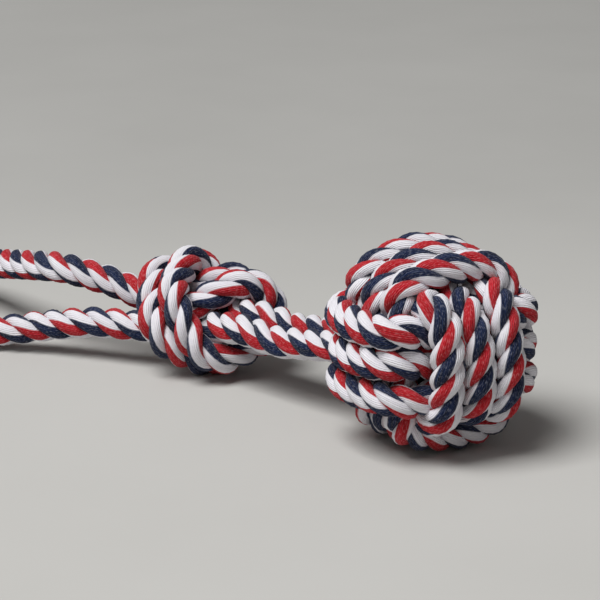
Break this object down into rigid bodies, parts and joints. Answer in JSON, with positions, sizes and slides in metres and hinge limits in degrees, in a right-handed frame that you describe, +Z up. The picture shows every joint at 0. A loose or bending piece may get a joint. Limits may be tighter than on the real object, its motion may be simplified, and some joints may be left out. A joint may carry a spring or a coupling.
{
  "type": "rope dog toy",
  "caption": "Cotton rope dog toy: a wound rope ball on a short two-rope neck, an overhand knot and a hand loop to pull or throw it by.",
  "frame": {"origin": "under the middle of the toy's box, on the surface that it lies on", "axes": "+X from the hand loop towards the ball, +Z up from the surface that it lies on"},
  "size_m": [0.279, 0.0658, 0.0614],
  "materials": {
    "rope": "matte cotton, red, white and navy",
    "core": "matte"
  },
  "bodies": {
    "knot": {"knot_rope_lower": "rope", "knot_rope_upper": "rope"},
    "neck": {"neck_rope_front": "rope", "neck_rope_back": "rope"},
    "ball": {"core_ball": "core", "first_turns": "rope", "second_turns": "rope", "third_turns": "rope"},
    "legs": {"leg_lower": "rope", "leg_upper": "rope"},
    "loop": {"hand_loop": "rope"}
  },
  "joints": [
    {"name": "neck_lift", "type": "hinge", "parent": "knot", "child": "neck", "pos_m": [0.0419, 0.0078, 0.0195], "axis": [0, -1, 0], "range_deg": [-70, 70], "deforming": ["neck_rope_front", "neck_rope_back"]},
    {"name": "ball_sway", "type": "hinge", "parent": "neck", "child": "ball", "pos_m": [0.0646, 0.0049, 0.0221], "axis": [0, 0, 1], "range_deg": [-60, 60]},
    {"name": "handle_lift", "type": "hinge", "parent": "knot", "child": "legs", "pos_m": [-0.0316, 0.0002, 0.0179], "axis": [0, 1, 0], "range_deg": [-45, 45], "deforming": ["leg_lower", "leg_upper"]},
    {"name": "loop_sway", "type": "hinge", "parent": "legs", "child": "loop", "pos_m": [-0.0517, -0.0039, 0.0155], "axis": [0, 0, 1], "range_deg": [-40, 40]}
  ]
}
